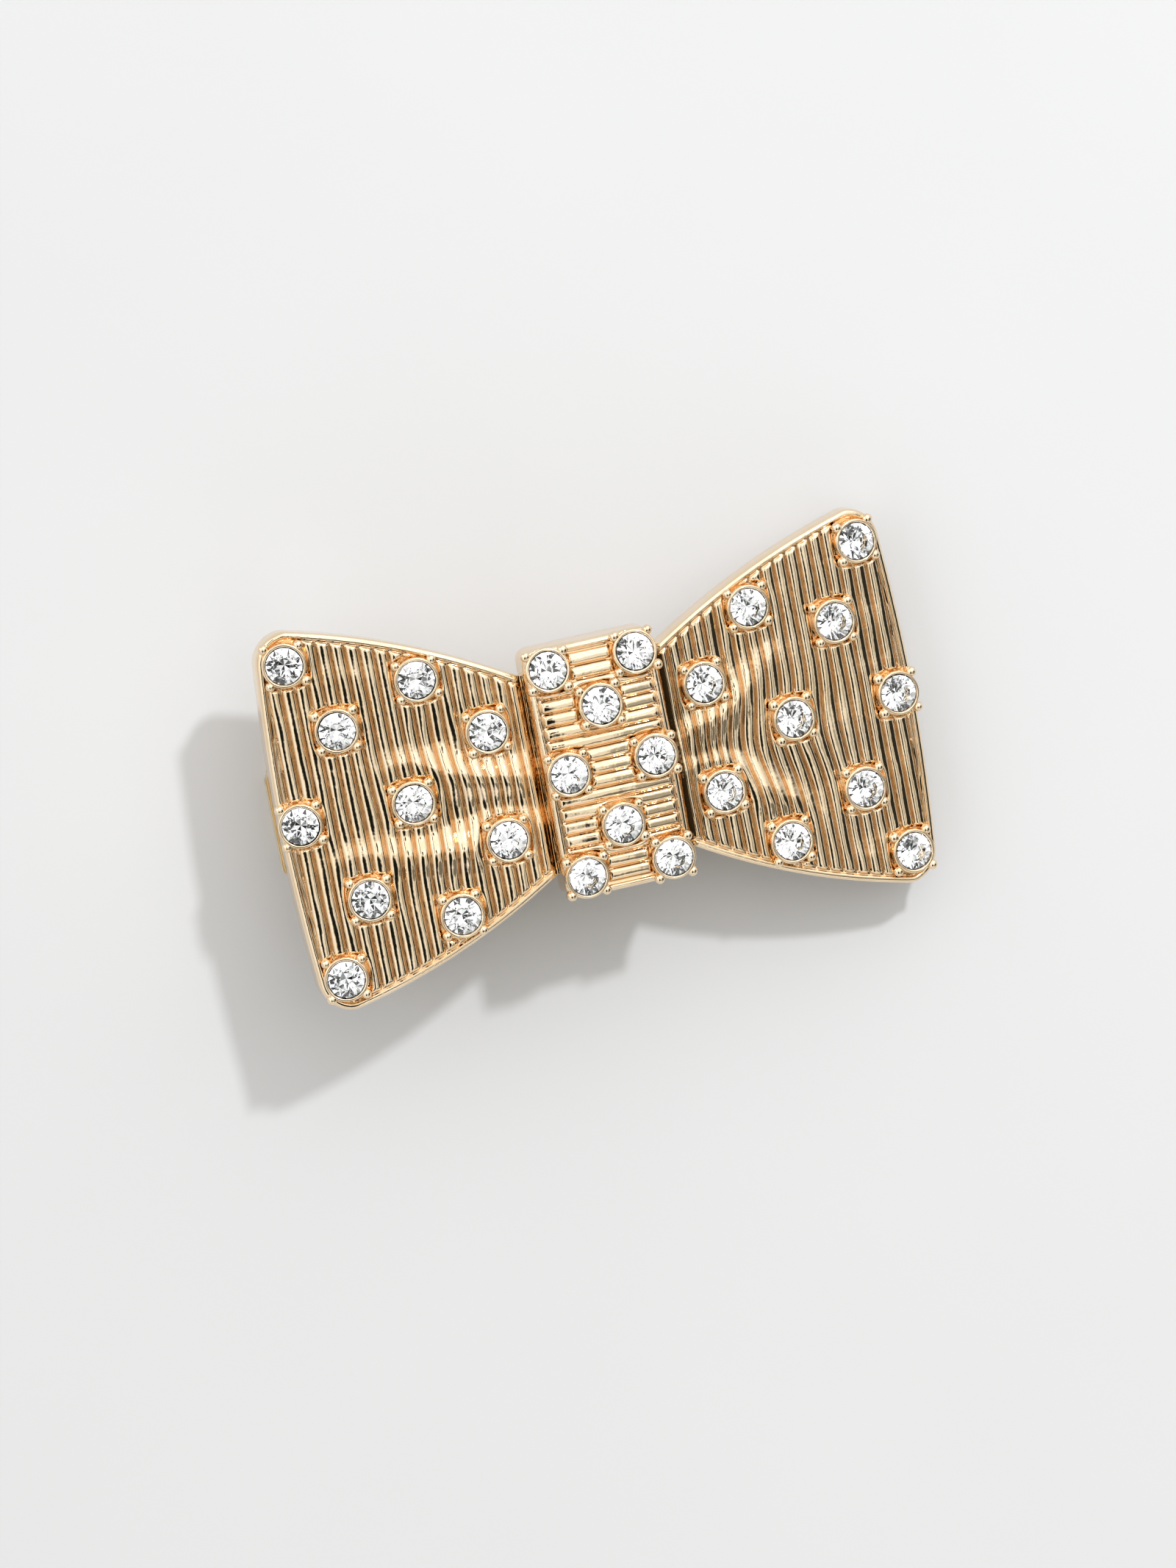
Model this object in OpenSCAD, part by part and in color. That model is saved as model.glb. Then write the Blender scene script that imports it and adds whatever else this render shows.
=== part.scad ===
// Bow-shaped hair clip: a gilt bow casting set with round crystals, soldered to a sprung alligator clip.
// Bow axes: X runs along the bow, Y across it and Z out of its face, with the face's middle at z = 0.
// lay_down() turns that into the resting position: the clip stands on its lever tip and its jaw tip.

/* [Bow casting] */
// Length of the bow
bow_len = 53.6; // [52:0.2:55]
// Height across the wing ends
bow_h = 31.4; // [30.6:0.2:32.2]
// Half height of the waist under the knot
waist_half = 8.2; // [8:0.05:8.3]
// Thickness of the casting
plate_t = 2.4; // [2.2:0.1:2.6]
// Radius of the bow's gentle lengthwise curve
face_r = 150; // [140:5:180]
// Spacing of the cast ribs
rib_pitch = 1.12; // [1:0.02:1.2]
// Depth of the grooves between ribs
groove_depth = 0.28; // [0.2:0.02:0.34]

/* [Knot band] */
// Width of the knot band along the bow
knot_w = 10.8; // [10.6:0.1:11]
// Height of the knot band across the bow
knot_len = 20.6; // [20.2:0.1:21]
// Height of the knot's face above the wings
knot_rise = 2.1; // [1.9:0.1:2.3]
// Radius of the knot's convex face
knot_r = 60; // [50:5:80]

/* [Crystals] */
// Diameter at the girdle
stone_d = 3; // [2.9:0.05:3.05]
// Height of the crown above the girdle
crown_h = 0.55; // [0.45:0.05:0.6]
// Depth of the pavilion below the girdle
pavilion_h = 1.2; // [1:0.05:1.3]
// Outer diameter of the collet round each crystal
collet_d = 3.66; // [3.5:0.02:3.8]
// Height of the collet rim above the ribs
collet_h = 0.55; // [0.5:0.05:0.6]
// Diameter of the prongs
prong_d = 1.04; // [0.96:0.02:1.1]

/* [Alligator clip] */
// Width of the clip at its tail
clip_w = 9.2; // [9:0.1:9.6]
// Width of the upper jaw at its tip
clip_tip_w = 7.4; // [7.4:0.1:8]
// Sheet thickness of both jaws
sheet_t = 0.8; // [0.7:0.05:0.85]
// Distance from the bow's middle to the jaw tip
jaw_reach = 19.5; // [18:0.5:21]
// Distance from the bow's middle to the hinge
hinge_back = 12; // [11:0.5:12.5]
// Slope of the lever away from the upper jaw
lever_slope = 18; // [17:0.5:19]
// Diameter of the hinge pin
pin_d = 1.4; // [1.3:0.05:1.5]
// Wire diameter of the torsion spring
wire_d = 0.7; // [0.6:0.05:0.75]
// Spacing of the jaw's teeth
tooth_pitch = 1.6; // [1.4:0.1:1.8]

/* [Hidden] */
$fn = 48;
gilt = [0.86, 0.7, 0.44];
crystal = [0.9, 0.93, 0.96];
tin = [0.72, 0.72, 0.7];

// Crystal places on one wing: pairs above and below the bow's middle line, and singles on it
wing_pairs = [[24, 13], [13.9, 9.8], [20.9, 7], [9.1, 4.5]];
wing_singles = [[25.2, 0], [16, 0]];
wing_spots = concat([for (s = wing_pairs, m = [1, -1]) [s.x, m * s.y]], wing_singles);
knot_spots = concat(
    [for (m = [-1, 1], n = [1, -1]) [m * 3.65, n * 8.5]],
    [for (m = [-1, 1]) [m * 3.65, 0]],
    [for (n = [1, -1]) [0, n * 4.9]]);

// Girdle of a crystal above the ribs, and the play round a crystal in its seat
girdle_z = collet_h - 0.2;
girdle_t = 0.12;
seat_play = 0.03;
prong_reach = 2.2;
root_depth = 0.6;

// Height of a convex face of radius r at distance d from its crest
function crown_z(d, r) = sqrt(r * r - d * d) - r;

// Upper jaw's sheet, clear of the casting's curved back, and the solder joint that carries it
arm_top = crown_z(bow_len / 2, face_r) - plate_t - 0.1;
arm_bottom = arm_top - sheet_t;
arm_tail = -bow_len / 2 - 0.1;
boss_len = 13;
boss_w = 5.6;
solder_t = 0.3;

// Hinge, with the spring's coil round the pin
coil_r = pin_d / 2 + 0.2 + wire_d / 2;
coil_turns = 4;
coil_pitch = wire_d + 0.04;
pin_x = -hinge_back;
pin_z = arm_bottom - coil_r - wire_d / 2 - 0.35;
press_play = 0.01;
running_play = 0.05;
ear_in = clip_w / 2 - sheet_t;
ear_r = 2.3;
head_d = 2.3;
head_t = 0.45;

// Lower jaw: its walls nest between the upper jaw's ears, and its floor bends into the lever at the hinge
wall_out = ear_in - 0.2;
floor_hinge = pin_z - coil_r - wire_d / 2 - 0.2;
floor_tip = arm_bottom - 1.5;
tooth_h = 0.8;
tooth_start = pin_x + 5;
closed_gap = 0.05;
lever_end = -25.3;
lever_tip_z = floor_hinge - (pin_x - lever_end) * tan(lever_slope);

// Resting position, with the lever tip and the jaw tip on the ground
rest_tilt = atan2(floor_tip - lever_tip_z, jaw_reach - lever_end);
rest_shift_x = 0.3;
rest_lift = jaw_reach * sin(rest_tilt) - (floor_tip - sheet_t) * cos(rest_tilt);

left_names = [for (i = [1:len(wing_spots)]) str("left_stone_", i)];
right_names = [for (i = [1:len(wing_spots)]) str("right_stone_", i)];
knot_names = [for (i = [1:len(knot_spots)]) str("knot_stone_", i)];

function reversed(list) = [for (i = [len(list) - 1:-1:0]) list[i]];

// Points along an arc from a to b that rises by h to the left of the line between them
function arc(a, b, h, steps) =
    let (
        chord = norm(b - a),
        along = (b - a) / chord,
        side = [-along.y, along.x],
        r = (chord * chord / 4 + h * h) / (2 * h),
        centre = (a + b) / 2 + side * (h - r),
        half = asin(chord / 2 / r))
    [for (i = [0:steps])
        let (t = half * (2 * i / steps - 1))
        centre + r * (along * sin(t) + side * cos(t))];

// A quarter of the bow's outline, from the waist round the wing's corner to the end's middle
function quarter_outline() =
    let (
        waist = [knot_w / 2 + 0.15, waist_half],
        shoulder = [bow_len / 2 - 3.2, bow_h / 2],
        corner = [bow_len / 2 - 0.6, bow_h / 2 - 2.7],
        end = [bow_len / 2, 0])
    concat(
        arc(waist, shoulder, 0.8, 9),
        [for (i = [1:5]) arc(shoulder, corner, 0.75, 5)[i]],
        [for (i = [1:4]) arc(corner, end, 0.12, 4)[i]]);

function half_outline() =
    let (quarter = quarter_outline(), count = len(quarter))
    concat(quarter, [for (i = [count - 2:-1:0]) [quarter[i].x, -quarter[i].y]]);

function bow_outline() = concat(half_outline(), [for (p = reversed(half_outline())) [-p.x, p.y]]);

// Top edge of a ribbed convex section, with V grooves between flat crests.
// No groove is cut within the distance bare of the middle.
function ribbed_edge(r, half, bare) =
    let (count = floor((half - 0.6) / rib_pitch), groove_half = 0.17)
    concat(
        [[-half, crown_z(half, r)]],
        [for (k = [-count:count])
            let (x = k * rib_pitch)
            if (abs(x) > bare)
                each [
                    [x - groove_half, crown_z(x - groove_half, r)],
                    [x, crown_z(x, r) - groove_depth],
                    [x + groove_half, crown_z(x + groove_half, r)]]],
        [[half, crown_z(half, r)]]);

module lay_down() {
    translate([rest_shift_x, 0, rest_lift])
        rotate([0, rest_tilt, 0])
            children();
}

// Places its children on the wing's face, or on the knot's, with Z along the face's normal there
module on_wing(spot) {
    translate([spot.x, spot.y, crown_z(spot.x, face_r)])
        rotate([0, asin(spot.x / face_r), 0])
            children();
}

module on_knot(spot) {
    translate([spot.x, spot.y, knot_rise + crown_z(spot.y, knot_r)])
        rotate([-asin(spot.y / knot_r), 0, 0])
            children();
}

module on_both_wings() {
    for (side = [-1, 1])
        for (spot = wing_spots)
            on_wing([side * spot.x, spot.y])
                children();
}

// One setting: a collet with four prongs on its diagonals
module setting() {
    translate([0, 0, -root_depth])
        cylinder(d = collet_d, h = root_depth + collet_h);
    for (turn = [45:90:315])
        rotate(turn)
            translate([prong_reach, 0, 0])
                prong();
}

// One prong: a post with a rounded head
module prong() {
    rotate_extrude()
        polygon([
            [0, -root_depth + 0.1],
            [prong_d / 2, -root_depth + 0.1],
            [prong_d / 2, collet_h + 0.02],
            [prong_d * 0.36, collet_h + 0.26],
            [0, collet_h + 0.38]]);
}

// The hollow in a setting that takes a crystal
module seat() {
    rim_r = stone_d / 2 + seat_play;
    rotate_extrude()
        polygon([
            [0, girdle_z - pavilion_h - 2 * seat_play],
            [rim_r, girdle_z - 2 * seat_play],
            [rim_r, collet_h + prong_d],
            [0, collet_h + prong_d]]);
}

// Round brilliant: table, crown, girdle and pavilion
module stone() {
    color(crystal)
        translate([0, 0, girdle_z])
            rotate_extrude()
                polygon([
                    [0, -pavilion_h],
                    [stone_d / 2, 0],
                    [stone_d / 2, girdle_t],
                    [stone_d * 0.28, crown_h],
                    [0, crown_h]]);
}

module plate_blank() {
    half = bow_len / 2;
    steps = 12;
    back = [for (i = [steps:-1:-steps])
        let (x = half * i / steps)
        [x, crown_z(x, face_r) - plate_t]];
    intersection() {
        translate([0, 0, crown_z(half, face_r) - 2 * plate_t])
            linear_extrude(4 * plate_t)
                polygon(bow_outline());
        rotate([90, 0, 0])
            linear_extrude(bow_h + 2, center = true)
                polygon(concat(ribbed_edge(face_r, half, knot_w / 2 + 0.3), back));
    }
}

module bow_plate() {
    color(gilt)
        lay_down()
            difference() {
                union() {
                    plate_blank();
                    on_both_wings()
                        setting();
                    translate([-boss_len / 2, -boss_w / 2, arm_top + solder_t])
                        cube([boss_len, boss_w, -plate_t / 2 - arm_top - solder_t]);
                }
                on_both_wings()
                    seat();
            }
}

// A strap over the waist, turned down at both ends to the casting's back
module knot_blank() {
    half = knot_len / 2;
    face = [for (p = ribbed_edge(knot_r, half, -1)) [p.x, p.y + knot_rise]];
    rotate([90, 0, 90])
        linear_extrude(knot_w, center = true)
            difference() {
                polygon(concat(face, [[half, -plate_t], [-half, -plate_t]]));
                translate([-waist_half - seat_play, -2 * plate_t])
                    square([2 * (waist_half + seat_play), 2 * plate_t + seat_play]);
            }
}

module knot_band() {
    color(gilt)
        lay_down()
            difference() {
                union() {
                    knot_blank();
                    for (spot = knot_spots)
                        on_knot(spot)
                            setting();
                }
                for (spot = knot_spots)
                    on_knot(spot)
                        seat();
            }
}

module solder_pad() {
    color(tin)
        lay_down()
            translate([-boss_len / 2, -boss_w / 2, arm_top])
                cube([boss_len, boss_w, solder_t]);
}

// Plan of a strip with rounded corners, as wide as w0 at x0 and up to the shoulder, then narrowing to w1
module strip_plan(x0, w0, shoulder, x1, w1, r) {
    upper = concat(
        [for (a = [0:15:90]) [x1 - r + r * cos(a), w1 / 2 - r + r * sin(a)]],
        [[shoulder, w0 / 2]],
        [for (a = [90:15:180]) [x0 + r + r * cos(a), w0 / 2 - r + r * sin(a)]]);
    polygon(concat(upper, [for (p = reversed(upper)) [p.x, -p.y]]));
}

// A side sheet of the given plan in X and Z, with its outer face at |y| = out, on both sides
module side_sheets(out) {
    for (y = [-out, out - sheet_t])
        translate([0, y + sheet_t, 0])
            rotate([90, 0, 0])
                linear_extrude(sheet_t)
                    children();
}

module pin_hole(play) {
    translate([pin_x, 0, pin_z])
        rotate([90, 0, 0])
            cylinder(d = pin_d + 2 * play, h = 2 * clip_w, center = true);
}

module upper_jaw() {
    root = 3.4;
    color(gilt)
        lay_down()
            difference() {
                union() {
                    translate([0, 0, arm_bottom])
                        linear_extrude(sheet_t)
                            strip_plan(arm_tail, clip_w, pin_x + root, jaw_reach, clip_tip_w, 1.2);
                    side_sheets(clip_w / 2) {
                        translate([pin_x, pin_z])
                            circle(ear_r);
                        polygon([
                            [pin_x - root, arm_bottom + sheet_t / 2],
                            [pin_x - ear_r, pin_z],
                            [pin_x + ear_r, pin_z],
                            [pin_x + root, arm_bottom + sheet_t / 2]]);
                    }
                }
                pin_hole(press_play);
            }
}

// Side wall of the lower jaw: a round eye at the pin, teeth towards the tip, a flange down the lever
module toothed_wall() {
    tip_z = arm_bottom - closed_gap;
    sink = sheet_t / 2;
    flange_end = lever_end + 3;
    flange_z = floor_hinge - (pin_x - flange_end) * tan(lever_slope) - sink;
    count = floor((jaw_reach - tooth_start) / tooth_pitch);
    teeth = [for (k = [0:count - 1])
        let (x = tooth_start + k * tooth_pitch)
        each [[x, tip_z - tooth_h], [x + tooth_pitch / 2, tip_z]]];
    translate([pin_x, pin_z])
        circle(1.6);
    polygon(concat(
        [[flange_end, flange_z], [pin_x - 1.55, pin_z], [pin_x + 1.55, pin_z]],
        teeth,
        [[tooth_start + count * tooth_pitch, tip_z - tooth_h], [jaw_reach, tip_z - tooth_h],
            [jaw_reach, floor_tip - sink], [pin_x, floor_hinge - sink]]));
}

module lower_jaw() {
    color(gilt)
        lay_down()
            difference() {
                union() {
                    intersection() {
                        rotate([90, 0, 0])
                            linear_extrude(clip_w, center = true)
                                polygon([
                                    [lever_end, lever_tip_z], [pin_x, floor_hinge], [jaw_reach, floor_tip],
                                    [jaw_reach, floor_tip - sheet_t], [pin_x, floor_hinge - sheet_t],
                                    [lever_end, lever_tip_z - sheet_t]]);
                        translate([0, 0, 3 * lever_tip_z])
                            linear_extrude(-3 * lever_tip_z)
                                strip_plan(lever_end, 2 * wall_out, pin_x, jaw_reach, 2 * wall_out, 0.6);
                    }
                    intersection() {
                        side_sheets(wall_out)
                            toothed_wall();
                        translate([lever_end, -clip_w / 2, 2 * lever_tip_z])
                            cube([jaw_reach - lever_end - 0.5, clip_w, -2 * lever_tip_z]);
                    }
                }
                pin_hole(running_play);
            }
}

module hinge_pin() {
    color(tin)
        lay_down()
            translate([pin_x, 0, pin_z])
                rotate([90, 0, 0]) {
                    cylinder(d = pin_d, h = clip_w + 2 * head_t, center = true);
                    for (side = [-1, 1])
                        translate([0, 0, side * (clip_w / 2 + 0.02 + head_t / 2)])
                            cylinder(d = head_d, h = head_t, center = true);
                }
}

// Torsion spring: four turns and a half, with one leg under the upper jaw and one on the lever.
// The turn angle is measured from the coil's top, towards the jaw tip.
module torsion_spring() {
    leg = 6.5;
    sides = 8;
    per_turn = 20;
    last = coil_turns * 360 + 180 - lever_slope;
    steps = round(last / 360 * per_turn);
    half_len = coil_pitch * last / 720;
    coil = [for (i = [0:steps])
        let (a = last * i / steps)
        [pin_x + coil_r * sin(a), 2 * half_len * i / steps - half_len, pin_z + coil_r * cos(a), a]];
    arm_leg = [pin_x - leg, -half_len, pin_z + coil_r + 0.3, 0];
    lever_leg = [
        coil[steps].x - leg * cos(lever_slope), half_len, coil[steps].z - leg * sin(lever_slope), last];
    path = concat([arm_leg], coil, [lever_leg]);
    rings = [for (p = path)
        for (j = [0:sides - 1])
            let (t = 360 * j / sides, out = wire_d / 2 * cos(t), along = wire_d / 2 * sin(t))
            [p.x + out * sin(p[3]), p.y + along, p.z + out * cos(p[3])]];
    count = len(path);
    skin = [for (i = [0:count - 2])
        for (j = [0:sides - 1])
            let (k = (j + 1) % sides)
            [i * sides + j, (i + 1) * sides + j, (i + 1) * sides + k, i * sides + k]];
    start_cap = [[for (j = [0:sides - 1]) j]];
    end_cap = [[for (j = [sides - 1:-1:0]) (count - 1) * sides + j]];
    color(tin)
        lay_down()
            polyhedron(points = rings, faces = concat(skin, start_cap, end_cap));
}

module left_stone(i) {
    lay_down()
        on_wing([-wing_spots[i].x, wing_spots[i].y])
            stone();
}

module right_stone(i) {
    lay_down()
        on_wing(wing_spots[i])
            stone();
}

module knot_stone(i) {
    lay_down()
        on_knot(knot_spots[i])
            stone();
}

bow_plate();
knot_band();
solder_pad();
upper_jaw();
lower_jaw();
hinge_pin();
torsion_spring();
for (i = [0:len(left_names) - 1])
    left_stone(i);
for (i = [0:len(right_names) - 1])
    right_stone(i);
for (i = [0:len(knot_names) - 1])
    knot_stone(i);
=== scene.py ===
"""Gilt bow hair clip with round crystals: the visual model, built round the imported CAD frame."""
import math

import bmesh
import bpy
import numpy as np
from mathutils import Matrix, Vector
from mathutils.geometry import delaunay_2d_cdt


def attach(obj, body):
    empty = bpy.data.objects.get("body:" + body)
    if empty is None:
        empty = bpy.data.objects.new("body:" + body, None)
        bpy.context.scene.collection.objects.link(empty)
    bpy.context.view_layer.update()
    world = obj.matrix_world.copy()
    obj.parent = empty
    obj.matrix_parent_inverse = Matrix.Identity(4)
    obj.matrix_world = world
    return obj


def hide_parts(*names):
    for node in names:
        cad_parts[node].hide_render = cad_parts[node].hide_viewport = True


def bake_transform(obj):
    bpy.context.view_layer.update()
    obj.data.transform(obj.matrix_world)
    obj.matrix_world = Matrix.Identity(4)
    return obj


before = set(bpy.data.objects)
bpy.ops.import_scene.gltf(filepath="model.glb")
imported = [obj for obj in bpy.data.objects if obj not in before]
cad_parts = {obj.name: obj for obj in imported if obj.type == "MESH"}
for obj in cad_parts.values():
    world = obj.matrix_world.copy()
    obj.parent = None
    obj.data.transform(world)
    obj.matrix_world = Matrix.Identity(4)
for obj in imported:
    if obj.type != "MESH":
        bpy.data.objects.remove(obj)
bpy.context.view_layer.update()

SEED = 11
MM = 0.001

# Sizes in mm: X along the bow, Y across it, Z out of its face. They are the CAD's, apart from the
# crystals' pavilions, which are 0.18 deeper here.
BOW_LEN, BOW_H, WAIST_HALF, PLATE_T, FACE_R = 53.6, 31.4, 8.2, 2.4, 150
RIB_PITCH = 1.12
KNOT_W, KNOT_LEN, KNOT_RISE, KNOT_R = 10.8, 20.6, 2.1, 60
STONE_R, CROWN_H, PAVILION_H, GIRDLE_T, TABLE_R = 1.5, 0.55, 1.38, 0.12, 0.84
GIRDLE_Z = 0.35
PRONG_R, PRONG_REACH = 0.44, 2.08
PIN_X, PIN_Z, PIN_D, COIL_R, COIL_PITCH, WIRE_D = -12, -7.6636, 1.4, 1.25, 0.74, 0.7
ARM_TOP, BOSS_LEN, BOSS_W, SOLDER_T = -4.9136, 13, 5.6, 0.3
CLIP_W, HEAD_T, HEAD_D, LEVER_SLOPE = 9.2, 0.45, 2.3, 18
REST_TILT, REST_SHIFT, REST_LIFT = 8.3448, 0.3, 10.7588

WING_PAIRS = [(24, 13), (13.9, 9.8), (20.9, 7), (9.1, 4.5)]
WING_SINGLES = [(25.2, 0), (16, 0)]
WING_SPOTS = [(x, m * y) for x, y in WING_PAIRS for m in (1, -1)] + WING_SINGLES
KNOT_SPOTS = [(m * 3.65, n * 8.5) for m in (-1, 1) for n in (1, -1)]
KNOT_SPOTS += [(-3.65, 0), (3.65, 0), (0, 4.9), (0, -4.9)]
BOTH_WINGS = [(m * x, y) for m in (-1, 1) for x, y in WING_SPOTS]

LAY = Matrix.Translation((REST_SHIFT, 0, REST_LIFT)) @ Matrix.Rotation(math.radians(REST_TILT), 4, "Y")
TO_ROW = Matrix.Scale(MM, 4) @ LAY
rng = np.random.default_rng(SEED)


def crown_z(d, r):
    return np.sqrt(r * r - d * d) - r


def smooth(t):
    t = np.clip(t, 0, 1)
    return t * t * (3 - 2 * t)


def dome(t):
    """A quarter circle's rise, from 0 at 0 to 1 at 1."""
    t = np.clip(t, 0, 1)
    return np.sqrt(1 - (1 - t) ** 2)


def mix(a, b, t):
    return a + (b - a) * t


def moved(points, matrix):
    return points @ np.array(matrix.to_3x3()).T + np.array(matrix.translation)


def nearest(points, spots):
    """Distance of each point from the nearest of the spots."""
    return np.min([np.hypot(*(points - s).T) for s in spots], axis=0)


# ---------------------------------------------------------------- materials

def material(name):
    m = bpy.data.materials.new(name)
    m.use_nodes = True
    return m, m.node_tree.nodes, m.node_tree.links, m.node_tree.nodes["Principled BSDF"]


def noise(nodes, links, scale, detail=3):
    place = nodes.new("ShaderNodeTexCoord")
    n = nodes.new("ShaderNodeTexNoise")
    n.inputs["Scale"].default_value = scale
    n.inputs["Detail"].default_value = detail
    links.new(place.outputs["Object"], n.inputs["Vector"])
    return n.outputs[0]


def ramp(nodes, links, source, stops):
    r = nodes.new("ShaderNodeValToRGB")
    for i, (at, colour) in enumerate(stops):
        e = r.color_ramp.elements[i] if i < 2 else r.color_ramp.elements.new(at)
        e.position, e.color = at, (*colour, 1)
    links.new(source, r.inputs["Fac"])
    return r.outputs["Color"]


def spread(nodes, links, source, low, high):
    m = nodes.new("ShaderNodeMapRange")
    m.inputs["From Min"].default_value, m.inputs["From Max"].default_value = 0.3, 0.7
    m.inputs["To Min"].default_value, m.inputs["To Max"].default_value = low, high
    links.new(source, m.inputs["Value"])
    return m.outputs["Result"]


def bumps(nodes, links, source, strength, distance, then=None):
    b = nodes.new("ShaderNodeBump")
    b.inputs["Strength"].default_value, b.inputs["Distance"].default_value = strength, distance
    links.new(source, b.inputs["Height"])
    if then:
        links.new(then, b.inputs["Normal"])
    return b.outputs["Normal"]


def gilt(name, high, low, rough, ripple, deep=None):
    """Polished gold plate, whose colour drifts between two tones, with painted shade darkening its grooves.
    """
    m, nodes, links, p = material(name)
    colour = ramp(nodes, links, noise(nodes, links, 260), [(0.35, high), (0.65, low)])
    # Painted shade: where the mesh's shade weight is high, in grooves and creases, the colour turns darker
    # and more orange.
    if deep:
        at = nodes.new("ShaderNodeAttribute")
        at.attribute_name = "crevice"
        over = nodes.new("ShaderNodeMix")
        over.data_type = "RGBA"
        links.new(at.outputs["Fac"], over.inputs["Factor"])
        links.new(colour, over.inputs["A"])
        paler = mix(np.array(deep), np.array(low), 0.3)
        patch = ramp(nodes, links, noise(nodes, links, 500), [(0.3, deep), (0.7, paler)])
        links.new(patch, over.inputs["B"])
        colour = over.outputs["Result"]
    links.new(colour, p.inputs["Base Color"])
    p.inputs["Metallic"].default_value = 1
    worn = spread(nodes, links, noise(nodes, links, 900, 4), rough * 0.75, rough * 1.3)
    links.new(worn, p.inputs["Roughness"])
    fine = bumps(nodes, links, noise(nodes, links, 4200, 2), ripple * 0.4, 0.00001)
    links.new(bumps(nodes, links, noise(nodes, links, 1100, 2), ripple, 0.00006, fine), p.inputs["Normal"])
    return m


def steel(name, colour, rough, streak):
    """Drawn or stamped steel with fine lines from its making."""
    m, nodes, links, p = material(name)
    place = nodes.new("ShaderNodeTexCoord")
    squeeze = nodes.new("ShaderNodeMapping")
    squeeze.inputs["Scale"].default_value = streak
    lines = nodes.new("ShaderNodeTexNoise")
    lines.inputs["Scale"].default_value = 1000
    lines.inputs["Detail"].default_value = 3
    links.new(place.outputs["Object"], squeeze.inputs["Vector"])
    links.new(squeeze.outputs["Vector"], lines.inputs["Vector"])
    dark = tuple(c * 0.82 for c in colour)
    tone = ramp(nodes, links, noise(nodes, links, 300), [(0.35, colour), (0.7, dark)])
    links.new(tone, p.inputs["Base Color"])
    p.inputs["Metallic"].default_value = 1
    links.new(spread(nodes, links, lines.outputs[0], rough * 0.7, rough * 1.3), p.inputs["Roughness"])
    links.new(bumps(nodes, links, lines.outputs[0], 0.25, 0.00003), p.inputs["Normal"])
    return m


# The third tone is painted shade, darker and more orange, for the grooves and creases.
GOLD_HIGH, GOLD_LOW, GOLD_PAINTED_SHADE = (0.90, 0.735, 0.54), (0.87, 0.685, 0.47), (0.66, 0.37, 0.16)
casting = gilt("gilt_casting", GOLD_HIGH, GOLD_LOW, 0.06, 0.5, GOLD_PAINTED_SHADE)
settings_gilt = gilt("gilt_settings", GOLD_HIGH, GOLD_LOW, 0.06, 0.4)
sheet_gilt = steel("gilt_sheet", (0.84, 0.66, 0.40), 0.22, (0.15, 1, 1))
pin_metal = steel("pin_steel", (0.78, 0.66, 0.45), 0.25, (1, 0.2, 1))
spring_metal = steel("spring_steel", (0.60, 0.59, 0.58), 0.2, (1, 0.3, 1))
tin = steel("tin_solder", (0.62, 0.61, 0.59), 0.38, (1, 1, 1))


def crystal_glass():
    """Clear cut glass, for a crystal's crown."""
    m, nodes, links, p = material("crystal")
    p.inputs["Transmission Weight"].default_value = 1
    p.inputs["IOR"].default_value = 1.6
    tone = ramp(nodes, links, noise(nodes, links, 700), [(0.3, (1, 1, 1)), (0.7, (0.97, 0.98, 1))])
    links.new(tone, p.inputs["Base Color"])
    links.new(spread(nodes, links, noise(nodes, links, 1600), 0.0, 0.02), p.inputs["Roughness"])
    return m


def crystal_foil():
    """The mirror backing of a crystal's pavilion."""
    m, nodes, links, p = material("crystal_foil")
    p.inputs["Metallic"].default_value = 1
    tone = ramp(nodes, links, noise(nodes, links, 900), [(0.3, (0.99, 0.99, 1)), (0.7, (0.95, 0.96, 0.98))])
    links.new(tone, p.inputs["Base Color"])
    links.new(spread(nodes, links, noise(nodes, links, 2500), 0.01, 0.05), p.inputs["Roughness"])
    return m


glass, foil = crystal_glass(), crystal_foil()


# ---------------------------------------------------------------- mesh helpers

class Shell:
    """Points and faces in mm, in bow axes, gathered from several closed parts into one mesh."""

    def __init__(self):
        self.points, self.faces, self.crevice, self.slots, self.count = [], [], [], [], 0

    def add(self, points, faces, crevice=None, slots=None):
        points = np.asarray(points, float)
        self.points.append(points)
        self.crevice.append(np.zeros(len(points)) if crevice is None else crevice)
        self.faces += [[i + self.count for i in f] for f in faces]
        self.slots += slots or [0] * len(faces)
        self.count += len(points)

    def piece(self, name, mats, body, nodes, sharp=None):
        """The mesh as a scene object. sharp is the angle in degrees over which its edges stay sharp."""
        mesh = bpy.data.meshes.new(name)
        points = np.concatenate(self.points)
        mesh.from_pydata(points.tolist(), [], self.faces)
        for m in mats:
            mesh.materials.append(m)
        mesh.polygons.foreach_set("material_index", self.slots)
        mesh.transform(TO_ROW)
        # Each point's weight of painted shade, read by the gold material
        at = mesh.attributes.new("crevice", "FLOAT", "POINT")
        at.data.foreach_set("value", np.concatenate(self.crevice).astype(np.float32))
        work = bmesh.new()
        work.from_mesh(mesh)
        bmesh.ops.recalc_face_normals(work, faces=work.faces)
        work.to_mesh(mesh)
        work.free()
        mesh.shade_smooth()
        if sharp:
            mesh.set_sharp_from_angle(angle=math.radians(sharp))
        o = bpy.data.objects.new(name, mesh)
        bpy.context.scene.collection.objects.link(o)
        if body:
            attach(o, body)
        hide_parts(*nodes)
        return o


def ring_faces(rows, n):
    """Quads between consecutive rings of n points."""
    return [[r * n + i, r * n + (i + 1) % n, (r + 1) * n + (i + 1) % n, (r + 1) * n + i]
            for r in range(rows - 1) for i in range(n)]


def loft(shell, rings):
    """A closed solid through rings of equal length, with both ends filled."""
    n = len(rings[0])
    faces = ring_faces(len(rings), n)
    faces += [list(range(n - 1, -1, -1)), list(range((len(rings) - 1) * n, len(rings) * n))]
    shell.add(np.concatenate(rings), faces)


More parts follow.
